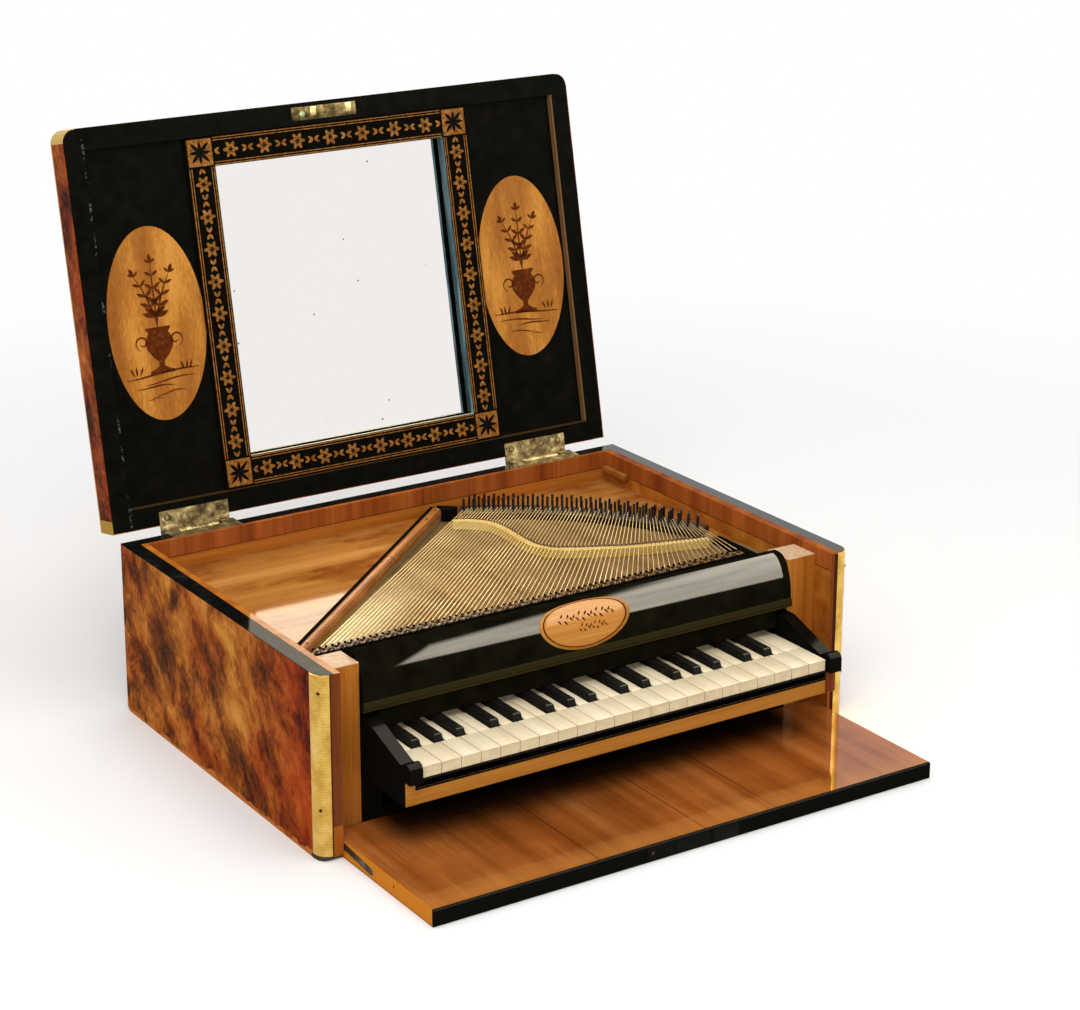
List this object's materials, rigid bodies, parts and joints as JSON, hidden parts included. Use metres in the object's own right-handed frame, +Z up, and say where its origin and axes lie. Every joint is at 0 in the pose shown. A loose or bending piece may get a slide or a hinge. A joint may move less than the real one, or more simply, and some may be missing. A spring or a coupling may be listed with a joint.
{
  "type": "travelling piano",
  "caption": "Small box piano with a mirror lid on hinges, a drop-down front, a sliding key tray with playing keys, and a strung soundboard inside.",
  "frame": {"origin": "on the table, under the middle of the case", "axes": "+X to the player's right, +Y to the back, +Z up"},
  "size_m": [0.4, 0.4628, 0.3885],
  "materials": {
    "burl_veneer": "gloss",
    "honey_veneer": "gloss",
    "light_wood": "satin",
    "ebonised_wood": "gloss",
    "bone": "satin",
    "aged_brass": "satin",
    "gut_brass_wire": "satin",
    "mirror_silvering": "gloss"
  },
  "bodies": {
    "case": {"case_left_side": "burl_veneer", "case_right_side": "burl_veneer", "case_back": "burl_veneer", "case_bottom": "ebonised_wood", "post_left": "honey_veneer", "post_right": "honey_veneer", "nameboard": "ebonised_wood", "soundboard": "honey_veneer", "harp_frame": "ebonised_wood", "wrest_plank": "ebonised_wood", "bridge": "light_wood", "strings": "gut_brass_wire", "lid_hinge_left_case_leaf": "aged_brass", "lid_hinge_right_case_leaf": "aged_brass"},
    "lid": {"lid_panel": "ebonised_wood", "mirror_frame": "ebonised_wood", "mirror_glass": "mirror_silvering", "lid_hinge_left_lid_leaf": "aged_brass", "lid_hinge_right_lid_leaf": "aged_brass"},
    "fall": {"fall_front": "honey_veneer", "fall_hinge_left": "aged_brass", "fall_hinge_right": "aged_brass"},
    "tray": {"key_tray": "light_wood"},
    "key_01": {"key_01_natural": "bone"},
    "key_02": {"key_02_sharp": "ebonised_wood"},
    "key_03": {"key_03_natural": "bone"},
    "key_04": {"key_04_sharp": "ebonised_wood"},
    "key_05": {"key_05_natural": "bone"},
    "key_06": {"key_06_sharp": "ebonised_wood"},
    "key_07": {"key_07_natural": "bone"},
    "key_08": {"key_08_natural": "bone"},
    "key_09": {"key_09_sharp": "ebonised_wood"},
    "key_10": {"key_10_natural": "bone"},
    "key_11": {"key_11_sharp": "ebonised_wood"},
    "key_12": {"key_12_natural": "bone"},
    "key_13": {"key_13_natural": "bone"},
    "key_14": {"key_14_sharp": "ebonised_wood"},
    "key_15": {"key_15_natural": "bone"},
    "key_16": {"key_16_sharp": "ebonised_wood"},
    "key_17": {"key_17_natural": "bone"},
    "key_18": {"key_18_sharp": "ebonised_wood"},
    "key_19": {"key_19_natural": "bone"},
    "key_20": {"key_20_natural": "bone"},
    "key_21": {"key_21_sharp": "ebonised_wood"},
    "key_22": {"key_22_natural": "bone"},
    "key_23": {"key_23_sharp": "ebonised_wood"},
    "key_24": {"key_24_natural": "bone"},
    "key_25": {"key_25_natural": "bone"},
    "key_26": {"key_26_sharp": "ebonised_wood"},
    "key_27": {"key_27_natural": "bone"},
    "key_28": {"key_28_sharp": "ebonised_wood"},
    "key_29": {"key_29_natural": "bone"},
    "key_30": {"key_30_sharp": "ebonised_wood"},
    "key_31": {"key_31_natural": "bone"},
    "key_32": {"key_32_natural": "bone"},
    "key_33": {"key_33_sharp": "ebonised_wood"},
    "key_34": {"key_34_natural": "bone"},
    "key_35": {"key_35_sharp": "ebonised_wood"},
    "key_36": {"key_36_natural": "bone"},
    "key_37": {"key_37_natural": "bone"}
  },
  "joints": [
    {"name": "lid_hinge", "type": "hinge", "parent": "case", "child": "lid", "pos_m": [0, 0.1425, 0.1165], "axis": [1, 0, 0], "range_deg": [0, 101.6]},
    {"name": "fall_hinge", "type": "hinge", "parent": "case", "child": "fall", "pos_m": [0, -0.1275, 0.0085], "axis": [-1, 0, 0], "range_deg": [0, 90]},
    {"name": "tray_slide", "type": "slide", "parent": "case", "child": "tray", "axis": [0, 1, 0], "range_m": [0, 0.053]},
    {"name": "key_01_dip", "type": "hinge", "parent": "tray", "child": "key_01", "pos_m": [-0.14786, -0.106, 0.0565], "axis": [1, 0, 0], "range_deg": [0, 3.4]},
    {"name": "key_02_dip", "type": "hinge", "parent": "tray", "child": "key_02", "pos_m": [-0.13997, -0.106, 0.0565], "axis": [1, 0, 0], "range_deg": [0, 3.4]},
    {"name": "key_03_dip", "type": "hinge", "parent": "tray", "child": "key_03", "pos_m": [-0.13209, -0.106, 0.0565], "axis": [1, 0, 0], "range_deg": [0, 3.4]},
    {"name": "key_04_dip", "type": "hinge", "parent": "tray", "child": "key_04", "pos_m": [-0.1242, -0.106, 0.0565], "axis": [1, 0, 0], "range_deg": [0, 3.4]},
    {"name": "key_05_dip", "type": "hinge", "parent": "tray", "child": "key_05", "pos_m": [-0.11631, -0.106, 0.0565], "axis": [1, 0, 0], "range_deg": [0, 3.4]},
    {"name": "key_06_dip", "type": "hinge", "parent": "tray", "child": "key_06", "pos_m": [-0.10843, -0.106, 0.0565], "axis": [1, 0, 0], "range_deg": [0, 3.4]},
    {"name": "key_07_dip", "type": "hinge", "parent": "tray", "child": "key_07", "pos_m": [-0.10054, -0.106, 0.0565], "axis": [1, 0, 0], "range_deg": [0, 3.4]},
    {"name": "key_08_dip", "type": "hinge", "parent": "tray", "child": "key_08", "pos_m": [-0.09246, -0.106, 0.0565], "axis": [1, 0, 0], "range_deg": [0, 3.4]},
    {"name": "key_09_dip", "type": "hinge", "parent": "tray", "child": "key_09", "pos_m": [-0.08418, -0.106, 0.0565], "axis": [1, 0, 0], "range_deg": [0, 3.4]},
    {"name": "key_10_dip", "type": "hinge", "parent": "tray", "child": "key_10", "pos_m": [-0.0759, -0.106, 0.0565], "axis": [1, 0, 0], "range_deg": [0, 3.4]},
    {"name": "key_11_dip", "type": "hinge", "parent": "tray", "child": "key_11", "pos_m": [-0.06762, -0.106, 0.0565], "axis": [1, 0, 0], "range_deg": [0, 3.4]},
    {"name": "key_12_dip", "type": "hinge", "parent": "tray", "child": "key_12", "pos_m": [-0.05934, -0.106, 0.0565], "axis": [1, 0, 0], "range_deg": [0, 3.4]},
    {"name": "key_13_dip", "type": "hinge", "parent": "tray", "child": "key_13", "pos_m": [-0.05126, -0.106, 0.0565], "axis": [1, 0, 0], "range_deg": [0, 3.4]},
    {"name": "key_14_dip", "type": "hinge", "parent": "tray", "child": "key_14", "pos_m": [-0.04337, -0.106, 0.0565], "axis": [1, 0, 0], "range_deg": [0, 3.4]},
    {"name": "key_15_dip", "type": "hinge", "parent": "tray", "child": "key_15", "pos_m": [-0.03549, -0.106, 0.0565], "axis": [1, 0, 0], "range_deg": [0, 3.4]},
    {"name": "key_16_dip", "type": "hinge", "parent": "tray", "child": "key_16", "pos_m": [-0.0276, -0.106, 0.0565], "axis": [1, 0, 0], "range_deg": [0, 3.4]},
    {"name": "key_17_dip", "type": "hinge", "parent": "tray", "child": "key_17", "pos_m": [-0.01971, -0.106, 0.0565], "axis": [1, 0, 0], "range_deg": [0, 3.4]},
    {"name": "key_18_dip", "type": "hinge", "parent": "tray", "child": "key_18", "pos_m": [-0.01183, -0.106, 0.0565], "axis": [1, 0, 0], "range_deg": [0, 3.4]},
    {"name": "key_19_dip", "type": "hinge", "parent": "tray", "child": "key_19", "pos_m": [-0.00394, -0.106, 0.0565], "axis": [1, 0, 0], "range_deg": [0, 3.4]},
    {"name": "key_20_dip", "type": "hinge", "parent": "tray", "child": "key_20", "pos_m": [0.00414, -0.106, 0.0565], "axis": [1, 0, 0], "range_deg": [0, 3.4]},
    {"name": "key_21_dip", "type": "hinge", "parent": "tray", "child": "key_21", "pos_m": [0.01242, -0.106, 0.0565], "axis": [1, 0, 0], "range_deg": [0, 3.4]},
    {"name": "key_22_dip", "type": "hinge", "parent": "tray", "child": "key_22", "pos_m": [0.0207, -0.106, 0.0565], "axis": [1, 0, 0], "range_deg": [0, 3.4]},
    {"name": "key_23_dip", "type": "hinge", "parent": "tray", "child": "key_23", "pos_m": [0.02898, -0.106, 0.0565], "axis": [1, 0, 0], "range_deg": [0, 3.4]},
    {"name": "key_24_dip", "type": "hinge", "parent": "tray", "child": "key_24", "pos_m": [0.03726, -0.106, 0.0565], "axis": [1, 0, 0], "range_deg": [0, 3.4]},
    {"name": "key_25_dip", "type": "hinge", "parent": "tray", "child": "key_25", "pos_m": [0.04534, -0.106, 0.0565], "axis": [1, 0, 0], "range_deg": [0, 3.4]},
    {"name": "key_26_dip", "type": "hinge", "parent": "tray", "child": "key_26", "pos_m": [0.05323, -0.106, 0.0565], "axis": [1, 0, 0], "range_deg": [0, 3.4]},
    {"name": "key_27_dip", "type": "hinge", "parent": "tray", "child": "key_27", "pos_m": [0.06111, -0.106, 0.0565], "axis": [1, 0, 0], "range_deg": [0, 3.4]},
    {"name": "key_28_dip", "type": "hinge", "parent": "tray", "child": "key_28", "pos_m": [0.069, -0.106, 0.0565], "axis": [1, 0, 0], "range_deg": [0, 3.4]},
    {"name": "key_29_dip", "type": "hinge", "parent": "tray", "child": "key_29", "pos_m": [0.07689, -0.106, 0.0565], "axis": [1, 0, 0], "range_deg": [0, 3.4]},
    {"name": "key_30_dip", "type": "hinge", "parent": "tray", "child": "key_30", "pos_m": [0.08477, -0.106, 0.0565], "axis": [1, 0, 0], "range_deg": [0, 3.4]},
    {"name": "key_31_dip", "type": "hinge", "parent": "tray", "child": "key_31", "pos_m": [0.09266, -0.106, 0.0565], "axis": [1, 0, 0], "range_deg": [0, 3.4]},
    {"name": "key_32_dip", "type": "hinge", "parent": "tray", "child": "key_32", "pos_m": [0.10074, -0.106, 0.0565], "axis": [1, 0, 0], "range_deg": [0, 3.4]},
    {"name": "key_33_dip", "type": "hinge", "parent": "tray", "child": "key_33", "pos_m": [0.10902, -0.106, 0.0565], "axis": [1, 0, 0], "range_deg": [0, 3.4]},
    {"name": "key_34_dip", "type": "hinge", "parent": "tray", "child": "key_34", "pos_m": [0.1173, -0.106, 0.0565], "axis": [1, 0, 0], "range_deg": [0, 3.4]},
    {"name": "key_35_dip", "type": "hinge", "parent": "tray", "child": "key_35", "pos_m": [0.12558, -0.106, 0.0565], "axis": [1, 0, 0], "range_deg": [0, 3.4]},
    {"name": "key_36_dip", "type": "hinge", "parent": "tray", "child": "key_36", "pos_m": [0.13386, -0.106, 0.0565], "axis": [1, 0, 0], "range_deg": [0, 3.4]},
    {"name": "key_37_dip", "type": "hinge", "parent": "tray", "child": "key_37", "pos_m": [0.1449, -0.106, 0.0565], "axis": [1, 0, 0], "range_deg": [0, 3.4]}
  ],
  "couplings": [
    {"joint": "tray_slide", "follows": "fall_hinge", "m_per_rad": 0.03374}
  ]
}
